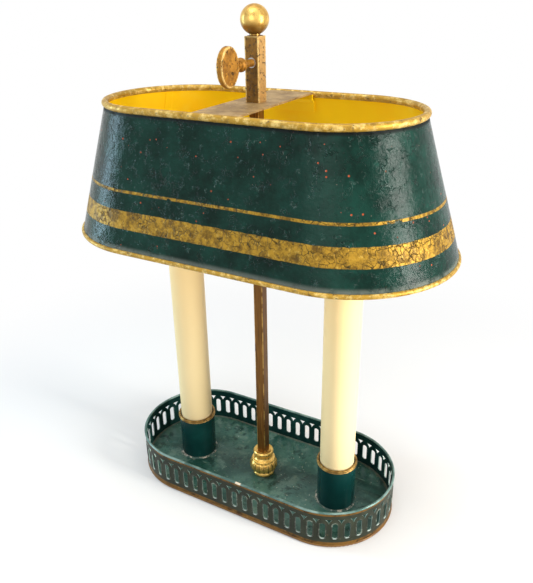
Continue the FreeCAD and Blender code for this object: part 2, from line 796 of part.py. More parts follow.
make_felt()
make_ballast()
make_tray()
make_inlet()
make_stem()
make_ball()
for name, side in (("left", -1), ("right", 1)):
    make_candle(name, side)
make_shade()
make_bridge()
make_sleeve()
make_key()
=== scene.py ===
"""The looks of a bouillotte lamp, built round its packed construction model, in metres."""

import math

import bmesh
import bpy
from mathutils import Matrix, Vector, noise


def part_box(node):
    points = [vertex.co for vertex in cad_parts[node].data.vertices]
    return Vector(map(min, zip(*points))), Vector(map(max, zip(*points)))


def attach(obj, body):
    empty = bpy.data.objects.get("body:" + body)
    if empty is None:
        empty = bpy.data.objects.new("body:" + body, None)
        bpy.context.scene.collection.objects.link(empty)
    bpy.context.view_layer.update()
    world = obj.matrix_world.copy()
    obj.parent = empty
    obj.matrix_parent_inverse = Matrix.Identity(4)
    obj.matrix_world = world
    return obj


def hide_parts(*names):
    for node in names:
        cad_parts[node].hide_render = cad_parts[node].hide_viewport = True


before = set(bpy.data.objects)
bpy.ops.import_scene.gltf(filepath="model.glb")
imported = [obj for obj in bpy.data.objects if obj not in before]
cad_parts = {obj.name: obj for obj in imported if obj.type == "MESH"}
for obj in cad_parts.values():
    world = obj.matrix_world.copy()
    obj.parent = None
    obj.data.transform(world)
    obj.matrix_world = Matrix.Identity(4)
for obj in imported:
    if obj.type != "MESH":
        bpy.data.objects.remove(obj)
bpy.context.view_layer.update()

bl_info = {
    "name": "Bouillotte Lamp",
    "version": (1, 0, 0),
    "blender": (4, 5, 0),
    "location": "View3D > Sidebar > Lamp",
    "description": "Builds the finished pieces of a bouillotte lamp and its studio",
    "category": "Object",
}

MM = 0.001
SIDES = ("left", "right")


def low(node):
    """A node's lowest corner."""
    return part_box(node)[0]


def high(node):
    """A node's highest corner."""
    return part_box(node)[1]


def middle(node):
    """The centre of a node's box."""
    lo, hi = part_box(node)
    return (lo + hi) / 2


def length(name, default, description):
    """A size that a user can change, in metres."""
    return bpy.props.FloatProperty(name=name, description=description, default=default,
                                   unit="LENGTH", precision=5)


def colour(name, default, description):
    """A paint or metal colour that a user can change."""
    return bpy.props.FloatVectorProperty(name=name, description=description, default=default,
                                         subtype="COLOR", size=3, min=0, max=1)


class LampSizes(bpy.types.PropertyGroup):
    """Sizes of what the finish adds to the construction."""

    band_top: length("Gilt band top", 301 * MM, "Height of the wide gilt band's upper edge")
    band_bottom: length("Gilt band foot", 286.5 * MM, "Height of the wide gilt band's lower edge")
    line_height: length("Gilt line", 316 * MM, "Height of the thin gilt line's middle")
    line_width: length("Gilt line width", 2.2 * MM, "Width of the thin gilt line")
    shade_ripple: length("Shade ripple", 0.25 * MM, "How far the beaten sheet of the shade waves in and out")
    foot_band: length("Foot band", 6.2 * MM, "Height of the bronze band round the foot of the gallery")
    rim_line: length("Rim line", 37.2 * MM, "Height of the lower edge of the bronze line by the rim")
    hammer_depth: length("Hammer depth", 0.28 * MM, "Depth of the hammer marks on the key's leaf")
    slot_start: length("First slot", 2.9 * MM, "Distance of the first slot from the gallery's front middle")
    slot_width: length("Slot width", 5.1 * MM, "Width of the gallery's slots")
    slot_foot: length("Slot foot", 11.0 * MM, "Height of the slots' lower ends")
    slot_top: length("Slot top", 28.6 * MM, "Height of the slots' upper ends")
    slot_count: bpy.props.IntProperty(name="Slots", description="Slots round the gallery", default=60)
    lip_height: length("Lip height", 0.32 * MM, "How far the lips round the slots stand out")
    beading_radius: length("Beading radius", 11.3 * MM, "Radius of the row of beads round the boss")
    beading_height: length("Beading height", 16.9 * MM, "Height of the row of beads above the boss's foot")


class LampColours(bpy.types.PropertyGroup):
    """Base colours of the finishes."""

    shade_dark: colour("Shade dark", (0.0010, 0.0130, 0.0085), "Darkest paint outside the shade")
    shade_green: colour("Shade green", (0.0060, 0.0440, 0.0310), "Lighter paint outside the shade")
    shade_inside: colour("Shade inside", (1.0, 0.66, 0.003), "Paint inside the shade")
    gilt: colour("Gilt", (0.44, 0.250, 0.026), "Gilding of the bands")
    gilt_worn: colour("Worn gilt", (0.150, 0.082, 0.012), "Dull patches of the gilding")
    chip: colour("Primer chip", (0.50, 0.085, 0.028), "Red primer where paint has chipped off")
    tray_green: colour("Tray green", (0.013, 0.060, 0.046), "Paint of the tray's floor")
    tray_worn: colour("Tray worn", (0.060, 0.150, 0.122), "Rubbed paint of the tray's floor")
    gallery_dark: colour("Gallery outside", (0.021, 0.026, 0.016), "Outside of the gallery")
    gallery_inside: colour("Gallery inside", (0.004, 0.030, 0.027), "Inside of the gallery")
    bronze: colour("Bronze band", (0.185, 0.090, 0.017), "Bronze paint on the gallery's edges")
    cup_green: colour("Cup green", (0.0035, 0.040, 0.037), "Enamel of the candle cups")
    candle: colour("Candle", (0.92, 0.735, 0.40), "Candle sleeves")
    brass: colour("Brass", (0.86, 0.56, 0.15), "Polished brass")
    brown_brass: colour("Brown brass", (0.185, 0.076, 0.010), "Aged brass of the rod")


def arithmetic(operation, reflected=False):
    """A method that joins a signal and another number by one Math node."""

    def method(self, other):
        values = (other, self) if reflected else (self, other)
        return self.finish.sum_of(operation, *values)

    return method


class Signal:
    """A number or colour that varies over a surface. Arithmetic on it adds Math nodes."""

    __add__ = arithmetic("ADD")
    __radd__ = arithmetic("ADD", reflected=True)
    __sub__ = arithmetic("SUBTRACT")
    __rsub__ = arithmetic("SUBTRACT", reflected=True)
    __mul__ = arithmetic("MULTIPLY")
    __rmul__ = arithmetic("MULTIPLY", reflected=True)
    __truediv__ = arithmetic("DIVIDE")
    __pow__ = arithmetic("POWER")
    at_least = arithmetic("MAXIMUM")

    def __init__(self, finish, socket):
        self.finish = finish
        self.socket = socket

    def __abs__(self):
        return self.finish.sum_of("ABSOLUTE", self)

    def other(self, output):
        """Another output of the same node."""
        return Signal(self.finish, self.socket.node.outputs[output])


class Finish:
    """One procedural material. Its patterns read Object coordinates, in metres."""

    def __init__(self, name, world=None):
        self.material = world or bpy.data.materials.new(name)
        self.material.use_nodes = True
        self.tree = self.material.node_tree
        self.tree.nodes.clear()
        self.place = self.node("ShaderNodeTexCoord", output="Object")
        self.x = self.node("ShaderNodeSeparateXYZ", {}, {0: self.place}, "X")
        self.y = self.x.other("Y")
        self.z = self.x.other("Z")

    def node(self, kind, settings=None, inputs=None, output=0):
        """Adds any node: its settings first, then the values or links of its sockets."""
        made = self.tree.nodes.new(kind)
        for key, value in (settings or {}).items():
            setattr(made, key, value)
        for key, value in (inputs or {}).items():
            socket = made.inputs[key]
            if isinstance(value, Signal):
                self.tree.links.new(value.socket, socket)
            elif socket.type == "SHADER":
                raise TypeError(f"{kind} takes a shader at {key}")
            elif socket.type == "RGBA":
                socket.default_value = tuple(value)[:3] + (1.0,)
            else:
                socket.default_value = value
        return Signal(self, made.outputs[output])

    def sum_of(self, operation, *values):
        """One Math node on these values."""
        return self.node("ShaderNodeMath", {"operation": operation}, dict(enumerate(values)))

    def stretched(self, x, y, z):
        """Object coordinates multiplied along each axis."""
        return self.node("ShaderNodeMapping", {}, {"Vector": self.place, "Scale": (x, y, z)})

    def cloud(self, scale, detail=4.0, roughness=0.55, place=None):
        """Soft noise from 0 to 1. Scale is in features a metre."""
        return self.node("ShaderNodeTexNoise", {}, {
            "Vector": place or self.place, "Scale": scale, "Detail": detail, "Roughness": roughness})

    def warped(self, scale, amount):
        """Object coordinates pushed about by noise, by up to an amount in metres."""
        shift = self.node("ShaderNodeTexNoise", {}, {
            "Vector": self.place, "Scale": scale, "Detail": 3.0}, "Color")
        centred = self.node("ShaderNodeVectorMath", {"operation": "SUBTRACT"}, {0: shift, 1: (0.5, 0.5, 0.5)})
        sized = self.node("ShaderNodeVectorMath", {"operation": "SCALE"}, {0: centred, "Scale": amount})
        return self.node("ShaderNodeVectorMath", {"operation": "ADD"}, {0: self.place, 1: sized})

    def cell_edge(self, scale, place=None):
        """The distance to the nearest edge of a network of cells."""
        return self.node("ShaderNodeTexVoronoi", {"feature": "DISTANCE_TO_EDGE"}, {
            "Vector": place or self.place, "Scale": scale})

    def specks(self, scale, share, size):
        """A mask of scattered round specks: share of the cells hold one, size is of a cell."""
        voronoi = {"Vector": self.place, "Scale": scale}
        near = self.node("ShaderNodeTexVoronoi", {"feature": "F1"}, voronoi, "Distance")
        pick = self.node("ShaderNodeSeparateColor", {}, {0: near.other("Color")})
        chosen = self.step(pick, 1 - share, 1 - share + 0.02)
        return chosen * self.step(near, size, size * 0.6)

    def step(self, value, start, end):
        """A smooth change from 0 at start to 1 at end."""
        ramp = {"Value": value, "From Min": start, "From Max": end}
        if start > end:
            ramp.update({"From Min": end, "From Max": start, "To Min": 1.0, "To Max": 0.0})
        return self.node("ShaderNodeMapRange", {"interpolation_type": "SMOOTHSTEP"}, ramp)

    def patches(self, start, end, *cloud):
        """Soft patches: a cloud's change from 0 where it is at start to 1 where it reaches end."""
        return self.step(self.cloud(*cloud), start, end)

    def ragged(self, value, amount, *cloud):
        """A value moved up and down by a cloud, over an amount in metres."""
        return value + (self.cloud(*cloud) - 0.5) * amount

    def mix(self, first, second, share):
        """A blend of two colours."""
        return self.node("ShaderNodeMix", {"data_type": "RGBA"}, {0: share, 6: first, 7: second}, 2)

    def bump(self, height, distance, strength=1.0):
        """A surface relief: height from 0 to 1 over a distance in metres."""
        return self.node("ShaderNodeBump", {}, {"Height": height, "Distance": distance, "Strength": strength})

    def surface(self, base, roughness, relief=None, metal=0.0, gloss=0.5, **sockets):
        """The shader itself. Relief is a bump's height, distance and strength."""
        inputs = {"Base Color": base, "Roughness": roughness, "Metallic": metal, "Specular IOR Level": gloss}
        if relief:
            inputs["Normal"] = self.bump(*relief)
        inputs.update({key.replace("_", " "): value for key, value in sockets.items()})
        self.node_output(self.node("ShaderNodeBsdfPrincipled", {}, inputs))
        return self.material

    def node_output(self, shader):
        """Joins a shader to the material's output."""
        out = self.tree.nodes.new("ShaderNodeOutputMaterial")
        self.tree.links.new(shader.socket, out.inputs["Surface"])

    def oval_distance(self, half_length, half_width):
        """How far a point lies outside an oval seen from above, in metres."""
        straight = half_length - half_width
        past_end = (abs(self.x) - straight).at_least(0.0)
        return (past_end * past_end + self.y * self.y) ** 0.5 - half_width


def shade_outside(sizes, colours):
    """Crackled dark green gloss with a gilt band and line and primer chips. Painted light too: shade in the
    creases, glints beside them, a shadow under the top edge and a pale highlight in the cove at the foot.
    """
    f = Finish("shade_outside")
    wide_net = f.cell_edge(150, f.warped(115, 17 * MM))
    fine_net = f.cell_edge(310, f.warped(190, 8 * MM))
    torn = f.patches(0.53, 0.68, 85, 5)
    crease = f.step(wide_net, 0.055, 0.0) * torn
    fine_crease = f.step(fine_net, 0.080, 0.0) * f.patches(0.54, 0.66, 110)
    glint = (f.step(wide_net, 0.04, 0.08) * f.step(wide_net, 0.14, 0.09)
             * f.patches(0.56, 0.66, 170, 5) * f.patches(0.46, 0.58, 95, 4))
    mottle = f.patches(0.33, 0.68, 26, 7, 0.68)
    paint = f.mix(colours.shade_dark, colours.shade_green, mottle)
    paint = f.mix(paint, (0.008, 0.060, 0.042), f.patches(0.56, 0.75, 170, 5) * 0.6)
    paint = f.mix(paint, (0.105, 0.165, 0.145), glint * 0.60)
    # painted shade: the paint is darker along the creases of its wrinkles
    paint = f.mix(paint, (0.0006, 0.0040, 0.0030), (crease + fine_crease * 0.6) * 0.55)
    ragged = f.ragged(f.z, 1.1 * MM, 190, 3)
    edge = 0.25 * MM
    wide = (f.step(ragged, sizes.band_bottom - edge, sizes.band_bottom + edge)
            * f.step(ragged, sizes.band_top + edge, sizes.band_top - edge))
    half = sizes.line_width / 2
    thin = f.step(abs(f.z - sizes.line_height), half + edge, half - edge) * f.patches(0.32, 0.42, 120, 6)
    cracks = f.step(f.cell_edge(190, f.warped(110, 9 * MM)), 0.075, 0.0) * f.patches(0.38, 0.54, 55)
    worn_off = f.patches(0.60, 0.70, 240, 6, 0.75)
    gold = f.mix(colours.gilt_worn, colours.gilt, f.patches(0.38, 0.60, 130, 7, 0.72))
    gold = f.mix(gold, (0.66, 0.43, 0.085), f.patches(0.57, 0.72, 330, 4) * 0.6)
    gold = f.mix(gold, (0.022, 0.016, 0.004), (cracks + f.patches(0.56, 0.68, 420, 5, 0.7) * 0.6) * 0.9)
    gilded = (wide * (1 - worn_off * 0.55)).at_least(thin * (1 - worn_off * 0.8))
    base = f.mix(paint, gold, gilded)
    clustered = f.patches(0.46, 0.58, 24, 3)
    chips = (f.specks(150, 0.34, 0.13) * clustered).at_least(f.specks(190, 0.07, 0.13))
    base = f.mix(base, colours.chip, chips * (1 - gilded))
    base = f.mix(base, (0.20, 0.17, 0.12), f.specks(260, 0.035, 0.12) * (1 - gilded) * 0.8)
    foot = low("shade_shell").z
    # painted highlight: a pale grey band in the cove just above the foot, where the flared sheet catches
    # light
    cove_highlight = f.step(f.z, foot + 6.5 * MM, foot + 2.5 * MM) * f.patches(0.30, 0.56, 60, 6)
    base = f.mix(base, (0.20, 0.22, 0.19), cove_highlight * 0.62)
    shadow_line = f.step(f.z, SHADE_TOP - 6.0 * MM, SHADE_TOP - 3.6 * MM)
    base = f.mix(base, (0.0010, 0.0020, 0.0015), shadow_line * 0.9)
    relief = (f.cloud(110, 7, 0.62) - crease * 0.7 - fine_crease * 0.35 + glint * 0.4 - chips * 0.3
              + gilded * 0.06 - cracks * gilded * 0.4)
    rough = 0.10 + f.cloud(60, 5) * 0.12 + gilded * 0.26 + cove_highlight * 0.3 + shadow_line * 0.4
    return f.surface(base, rough, (relief, 1.0 * MM, 0.9), metal=gilded * 0.25, gloss=0.13)


def shade_inside(colours):
    """Warm yellow paint inside the shade, a little uneven, with a few bare specks."""
    f = Finish("shade_inside")
    deep = f.mix(colours.shade_inside, (0.98, 0.50, 0.001), f.patches(0.40, 0.70, 18, 5) * 0.5)
    base = f.mix(deep, (1.0, 0.72, 0.05), f.patches(0.55, 0.72, 42, 4) * 0.35)
    base = f.mix(base, (0.16, 0.06, 0.02), f.specks(120, 0.035, 0.10))
    relief = f.cloud(70, 4) * 0.5 + f.cloud(400, 2) * 0.1
    return f.surface(base, 0.40 + f.cloud(50) * 0.15, (relief, 0.3 * MM, 0.5), gloss=0.15)


def edge_gilt(colours):
    """Gilt on the rolled edges of the shade, dark where it has worn away."""
    f = Finish("edge_gilt")
    gold = f.mix(colours.gilt, (0.74, 0.53, 0.17), f.patches(0.46, 0.66, 230, 5, 0.65))
    gold = f.mix(gold, colours.gilt_worn, f.patches(0.52, 0.70, 150, 6, 0.7) * 0.6)
    bare = f.patches(0.575, 0.64, 240, 6, 0.75, f.warped(160, 4 * MM))
    base = f.mix(gold, (0.040, 0.026, 0.008), bare * 0.8)
    relief = f.cloud(330, 6, 0.65) * 0.7 - bare * 0.6
    return f.surface(base, 0.34 + f.cloud(140) * 0.22, (relief, 0.28 * MM, 0.8), metal=(1 - bare) * 0.45,
                     gloss=0.35)


def aged_plate(colours):
    """Dull bronze-grey strip across the shade, yellow paint on its turned-down ends."""
    f = Finish("aged_plate")
    base = f.mix((0.30, 0.185, 0.070), (0.52, 0.35, 0.155), f.patches(0.35, 0.66, 55, 7, 0.65))
    base = f.mix(base, (0.13, 0.075, 0.022), f.patches(0.52, 0.70, 150, 6, 0.7) * 0.7)
    base = f.mix(base, (0.80, 0.68, 0.46), f.specks(300, 0.16, 0.18) * 0.7)
    under = high("shade_bridge").z - 1.6 * MM
    painted = f.step(f.z, under, under - 0.4 * MM)
    yellow = f.mix(colours.shade_inside, (0.20, 0.09, 0.02), f.specks(150, 0.08, 0.12))
    base = f.mix(base, yellow, painted)
    relief = f.cloud(170, 6, 0.65) * 0.8
    return f.surface(base, 0.46 + f.cloud(80) * 0.2, (relief, 0.5 * MM, 0.7), metal=(1 - painted) * 0.25,
                     gloss=0.2)


def pitted_bronze(name, light, dark, pit_share, rubbed=None, pale=None):
    """Rough gilt bronze with dark pits. Rubbed gives where its edges are bright, and pale where it is painted
    a lighter tan as painted light.
    """
    f = Finish(name)
    base = f.mix(dark, light, f.patches(0.32, 0.62, 95, 6, 0.65))
    base = f.mix(base, tuple(min(1.0, c * 1.7) for c in light), f.patches(0.56, 0.72, 260, 5) * 0.7)
    pits = f.patches(0.50 + pit_share, 0.60 + pit_share, 330, 5, 0.7)
    # painted light: a lighter tan where the pale mask says the lamps fall
    if pale:
        base = f.mix(base, (0.60, 0.345, 0.110), pale(f))
    if rubbed:
        bright = rubbed(f) * f.patches(0.36, 0.52, 190, 5, 0.7)
        base = f.mix(base, (0.80, 0.56, 0.20), bright * 0.85)
    base = f.mix(base, (0.022, 0.012, 0.003), pits * 0.85)
    relief = f.cloud(180, 5) * 0.8 - pits * 0.7
    return f.surface(base, 0.40 + f.cloud(120) * 0.24, (relief, 0.6 * MM, 1.0), metal=0.45 - pits * 0.3,
                     gloss=0.3)


def polished_brass(name, colours, tarnish, patina_and_shade=None):
    """Bright brass with soft tarnish and fine scratches. The patina_and_shade mask gives where the metal is
    darkened brown: tarnish in the boss's hollows, painted shade and painted reflections on the ball.
    """
    f = Finish(name)
    dull = f.patches(0.62 - tarnish * 0.3, 0.80 - tarnish * 0.2, 60, 5, 0.6)
    base = f.mix(colours.brass, (0.40, 0.20, 0.035), dull * 0.75)
    spots = f.specks(300, 0.10 * tarnish, 0.22)
    base = f.mix(base, (0.10, 0.05, 0.015), spots)
    scratches = f.cloud(900, 2, 0.5, f.stretched(1.0, 1.0, 0.15))
    if patina_and_shade:
        base = f.mix(base, (0.150, 0.062, 0.007), patina_and_shade(f))
    return f.surface(base, 0.24 + dull * 0.18 + scratches * 0.08,
                     (scratches * 0.3 + f.cloud(120) * 0.5, 0.15 * MM, 0.5), metal=0.70, gloss=0.3)


def rod_brass(colours):
    """Brown aged brass with streaks along the rod."""
    f = Finish("rod_brass")
    along = f.stretched(1.0, 1.0, 0.06)
    streak = f.cloud(420, 4, 0.6, along)
    base = f.mix(colours.brown_brass, (0.100, 0.040, 0.005), f.step(streak, 0.42, 0.66))
    base = f.mix(base, (0.44, 0.23, 0.050), f.patches(0.57, 0.72, 700, 3, 0.5, along) * 0.55)
    corner = f.step(abs(f.x) + abs(f.y), 7.9 * MM, 8.5 * MM)
    base = f.mix(base, (0.60, 0.37, 0.10), corner * f.patches(0.40, 0.56, 110, 5) * 0.7)
    base = f.mix(base, (0.055, 0.025, 0.008), f.specks(240, 0.07, 0.2))
    return f.surface(base, 0.33 + f.cloud(150) * 0.18, (streak, 0.2 * MM, 0.6), metal=0.45, gloss=0.3)


def candle_card(colours):
    """Satin cream candle sleeve, painted a little warmer towards the top as light thrown back from the
    shade's yellow inside.
    """
    f = Finish("candle_card")
    lo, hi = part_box("candle_tube_left")
    # painted light: the sleeve is warmer towards the top, as if lit by the shade's yellow inside
    yellow_bounce = f.step(f.z, lo.z + (hi.z - lo.z) * 0.35, hi.z)
    base = f.mix(colours.candle, (0.92, 0.69, 0.33), yellow_bounce * 0.7)
    base = f.mix(base, (0.80, 0.62, 0.36), f.patches(0.60, 0.80, 35, 5) * 0.25)
    base = f.mix(base, (0.45, 0.30, 0.15), f.specks(110, 0.02, 0.07) * 0.5)
    return f.surface(base, 0.38 + f.cloud(40) * 0.08, (f.cloud(60, 3), 0.1 * MM, 0.4), gloss=0.25)


def cup_enamel(colours):
    """Smooth very dark green gloss on the candle cups, rubbed at the foot."""
    f = Finish("cup_enamel")
    base = f.mix(colours.cup_green, (0.009, 0.070, 0.064), f.patches(0.45, 0.75, 30, 5) * 0.7)
    foot = low("candle_cup_left").z
    rubbed = f.step(f.z, foot + 1.3 * MM, foot + 0.3 * MM) * f.patches(0.42, 0.6, 160, 5)
    base = f.mix(base, (0.42, 0.36, 0.28), rubbed * 0.8)
    base = f.mix(base, (0.03, 0.10, 0.09), f.specks(200, 0.05, 0.1))
    return f.surface(base, 0.17 + f.cloud(70, 5) * 0.12 + rubbed * 0.3, (f.cloud(120, 4), 0.15 * MM, 0.5),
                     gloss=0.25)


def antique_gilt():
    """Dark antique gilding on the candle cups' rings."""
    f = Finish("antique_gilt")
    base = f.mix((0.16, 0.088, 0.020), (0.42, 0.265, 0.075), f.patches(0.38, 0.66, 150, 6, 0.65))
    base = f.mix(base, (0.035, 0.022, 0.009), f.patches(0.58, 0.68, 260, 5) * 0.8)
    return f.surface(base, 0.34 + f.cloud(120) * 0.2, (f.cloud(260, 4), 0.25 * MM, 0.7), metal=0.75)


def tray_paint(colours):
    """Worn glossy teal on the tray's floor: rubbed patches, scratches, pale specks and solder rings."""
    f = Finish("tray_paint")
    patch = f.patches(0.38, 0.60, 20, 8, 0.68)
    base = f.mix(colours.tray_green, colours.tray_worn, patch)
    base = f.mix(base, (0.120, 0.215, 0.175), f.patches(0.53, 0.64, 48, 8, 0.72) * 0.85)
    base = f.mix(base, (0.006, 0.030, 0.023), f.patches(0.54, 0.64, 75, 6, 0.7) * 0.8)
    grain = f.cloud(520, 3, 0.5, f.stretched(0.16, 1.0, 1.0))
    base = f.mix(base, (0.19, 0.30, 0.25), f.step(grain, 0.60, 0.72) * f.patches(0.45, 0.6, 35) * 0.6)
    specks = f.specks(210, 0.14, 0.13).at_least(f.specks(420, 0.10, 0.2) * 0.7)
    base = f.mix(base, (0.66, 0.66, 0.56), specks * 0.85)
    half = middle("candle_cup_right").x
    cup = (high("candle_cup_right").x - low("candle_cup_right").x) / 2
    along = abs(f.x) - half
    away = (along * along + f.y * f.y) ** 0.5 - cup
    ring = (f.step(f.ragged(away, 6 * MM, 120, 5), 2.4 * MM, 0.8 * MM)
            * f.patches(0.40, 0.56, 70, 5))
    base = f.mix(base, (0.42, 0.38, 0.30), ring * 0.7)
    edge = high("tray_floor")
    wall = f.oval_distance(edge.x, edge.y)
    grime = f.step(f.ragged(wall, 4 * MM, 90, 4), -3.5 * MM, -0.8 * MM)
    base = f.mix(base, (0.16, 0.145, 0.115), grime * 0.6)
    rough = 0.16 + f.cloud(48, 6) * 0.26 + ring * 0.3 + grime * 0.2
    relief = f.cloud(70, 7, 0.65) * 0.9 + grain * 0.15 - specks * 0.4 + ring * 0.5
    return f.surface(base, rough, (relief, 0.7 * MM, 0.7), metal=0.04 + specks * 0.1, gloss=0.3)


def gallery_paint(sizes, colours):
    """The pierced wall: dark outside with bronze bands, green inside, pale where the piercings are cut."""
    f = Finish("gallery_paint")
    outer = high("gallery_wall")
    sheet = outer.x - high("tray_floor").x
    from_middle = f.oval_distance(outer.x - sheet / 2, outer.y - sheet / 2)
    outside = f.step(from_middle, 0.0, sheet * 0.2)
    cut = f.step(abs(from_middle), sheet * 0.44, sheet * 0.40)
    skin = f.mix(colours.gallery_dark, (0.036, 0.044, 0.027), f.patches(0.42, 0.70, 60, 6))
    skin = f.mix(skin, (0.13, 0.115, 0.060), f.patches(0.60, 0.74, 130, 6, 0.7) * 0.4)
    skin = f.mix(skin, (0.55, 0.46, 0.33), f.specks(160, 0.04, 0.12) * 0.8)
    ragged = f.ragged(f.z, 0.9 * MM, 160, 4)
    bronze = f.mix(colours.bronze, (0.050, 0.024, 0.005), f.patches(0.44, 0.64, 110, 6, 0.7))
    bronze = f.mix(bronze, (0.40, 0.235, 0.065), f.patches(0.58, 0.72, 210, 5, 0.65) * 0.7)
    banded = f.step(ragged, sizes.foot_band + 0.2 * MM, sizes.foot_band - 0.2 * MM).at_least(
        f.step(ragged, sizes.rim_line - 0.2 * MM, sizes.rim_line + 0.2 * MM))
    skin = f.mix(skin, bronze, banded)
    inner = f.mix(colours.gallery_inside, (0.010, 0.055, 0.048), f.patches(0.45, 0.7, 70, 5))
    base = f.mix(inner, skin, outside)
    base = f.mix(base, (0.34, 0.46, 0.42), cut * 0.9)
    rough = 0.30 + f.cloud(80, 5) * 0.22
    return f.surface(base, rough, (f.cloud(200, 5), 0.35 * MM, 0.7),
                     metal=outside * banded * 0.25 + cut * 0.1, gloss=0.15)


def lip_paint(sizes):
    """Rubbed dark paint on the raised lips round the slots, paler at the slots' lower ends."""
    f = Finish("lip_paint")
    base = f.mix((0.022, 0.028, 0.018), (0.21, 0.25, 0.20), f.patches(0.52, 0.66, 150, 6, 0.7))
    pale_foot = f.step(f.z, sizes.slot_foot + 0.9 * MM, sizes.slot_foot - 0.2 * MM)
    base = f.mix(base, (0.50, 0.60, 0.56), pale_foot * 0.8)
    return f.surface(base, 0.30 + f.cloud(90) * 0.2, (f.cloud(300, 3), 0.1 * MM, 0.5), metal=0.10,
                     gloss=0.3)


def rim_paint(colours):
    """The gallery's rolled edges: teal above with pale teal patches, partly rubbed paint and partly a painted
    highlight, and bronze below.
    """
    f = Finish("rim_paint")
    # pale teal patches: partly rubbed paint, partly a painted highlight along the rolled edge
    base = f.mix((0.060, 0.135, 0.118), (0.21, 0.33, 0.30), f.patches(0.40, 0.66, 70, 6))
    base = f.mix(base, (0.55, 0.42, 0.22), f.patches(0.64, 0.72, 45, 6, 0.7) * 0.8)
    base = f.mix(base, (0.020, 0.045, 0.040), f.patches(0.60, 0.70, 150, 6, 0.7) * 0.7)
    bronze = f.mix(colours.bronze, (0.11, 0.045, 0.012), f.patches(0.42, 0.70, 120, 5))
    lower = f.step(f.z, middle("gallery_wall").z + 1 * MM, middle("gallery_wall").z - 1 * MM)
    base = f.mix(base, bronze, lower)
    chip = (f.step(abs(f.ragged(f.x - 8 * MM, 3 * MM, 300)), 3.4 * MM, 2.6 * MM)
            * f.step(f.y, -50 * MM, -60 * MM) * (1 - lower))
    base = f.mix(base, (0.78, 0.70, 0.55), chip)
    return f.surface(base, 0.26 + f.cloud(90) * 0.2, (f.cloud(220, 4), 0.2 * MM, 0.6), metal=0.25,
                     gloss=0.4)


def felt():
    """Dark green felt."""
    f = Finish("felt")
    base = f.mix((0.012, 0.030, 0.022), (0.030, 0.058, 0.044), f.cloud(700, 6, 0.8))
    return f.surface(base, 0.95, (f.cloud(1500, 4, 0.8), 0.3 * MM), Sheen_Weight=0.4)


def cast_iron():
    """Sand-cast grey iron."""
    f = Finish("cast_iron")
    base = f.mix((0.055, 0.055, 0.058), (0.13, 0.115, 0.10), f.patches(0.45, 0.75, 90, 7))
    return f.surface(base, 0.65 + f.cloud(200) * 0.2, (f.cloud(800, 5, 0.7), 0.3 * MM), metal=0.7)


def plain_metal(name, base_colour, roughness):
    """Plated steel or bare brass with a light grain."""
    f = Finish(name)
    dull = tuple(c * 0.6 for c in base_colour)
    base = f.mix(base_colour, dull, f.patches(0.46, 0.72, 180, 5) * 0.7)
    return f.surface(base, roughness + f.cloud(260) * 0.15, (f.cloud(500, 3), 0.08 * MM, 0.6), metal=1.0)


def moulded(name, base_colour, roughness):
    """Moulded plastic with a faint orange-peel surface."""
    f = Finish(name)
    light = tuple(min(1.0, c * 1.5 + 0.01) for c in base_colour)
    base = f.mix(base_colour, light, f.patches(0.48, 0.75, 90, 4) * 0.5)
    return f.surface(base, roughness + f.cloud(150) * 0.1, (f.cloud(900, 2), 0.06 * MM, 0.5))


def clear_glass():
    """Thin clear bulb glass."""
    f = Finish("clear_glass")
    return f.surface((0.98, 0.98, 0.97), 0.02 + f.cloud(60) * 0.03, IOR=1.45, Transmission_Weight=0.95,
                     Alpha=0.45)


def solder():
    """Dull solder and rubbed paint round the foot of a candle cup."""
    f = Finish("solder")
    base = f.mix((0.035, 0.085, 0.070), (0.50, 0.46, 0.38), f.patches(0.50, 0.60, 150, 7, 0.72))
    base = f.mix(base, (0.020, 0.018, 0.012), f.patches(0.58, 0.66, 200, 5, 0.7) * 0.8)
    return f.surface(base, 0.40 + f.cloud(140) * 0.25, (f.cloud(260, 5), 0.4 * MM, 0.8), metal=0.35)


def filament():
    """Grey tungsten wire."""
    f = Finish("filament")
    base = f.mix((0.10, 0.10, 0.11), (0.22, 0.21, 0.20), f.cloud(900, 3))
    return f.surface(base, 0.45 + f.cloud(700) * 0.1, metal=0.9)


def new_piece(bm, name, body, node, material, *replaced):
    """Turns a finished mesh into a piece that rides on a body and hides the parts it replaces. The node it is
    given is not used.
    """
    mesh = bpy.data.meshes.new(name)
    bm.to_mesh(mesh)
    bm.free()
    for face in mesh.polygons:
        face.use_smooth = True
    piece = bpy.data.objects.new(name, mesh)
    bpy.context.scene.collection.objects.link(piece)
    for each in (material if isinstance(material, list) else [material]):
        mesh.materials.append(each)
    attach(piece, body)
    if replaced:
        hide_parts(*replaced)
    return piece


def modify(piece, kind, name, **settings):
    """Adds a modifier to a piece."""
    modifier = piece.modifiers.new(name, kind)
    for key, value in settings.items():
        setattr(modifier, key, value)


def soften(piece, width, angle=35):
    """Rounds the sharp edges of a piece."""
    modify(piece, "BEVEL", "soft edges", width=width, segments=2, limit_method="ANGLE",
           angle_limit=math.radians(angle), harden_normals=False)


def smoothed(bm):
    """Merges doubled points and points the faces outwards."""
    bmesh.ops.remove_doubles(bm, verts=bm.verts, dist=0.002 * MM)
    bmesh.ops.recalc_face_normals(bm, faces=bm.faces)


def turned(points, steps, x):
    """A turned ring: an outline of radius and height, spun about an upright axis at x."""
    bm = bmesh.new()
    verts = [bm.verts.new((radius, 0, z)) for radius, z in points]
    edges = [bm.edges.new((a, b)) for a, b in zip(verts, verts[1:])]
    bmesh.ops.spin(bm, geom=edges + verts, cent=(0, 0, 0), axis=(0, 0, 1), angle=math.tau,
                   steps=steps, use_merge=True)
    smoothed(bm)
    bmesh.ops.translate(bm, verts=bm.verts, vec=(x, 0, 0))
    return bm


def middle_line(node):
    """Half the length and half the width of the line along the middle of a rolled edge."""
    lo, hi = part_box(node)
    radius = (hi.z - lo.z) / 2
    return hi.x - radius, hi.y - radius


SHADE_TOP = middle("shade_top_bead").z
SHADE_FOOT = middle("shade_bottom_bead").z


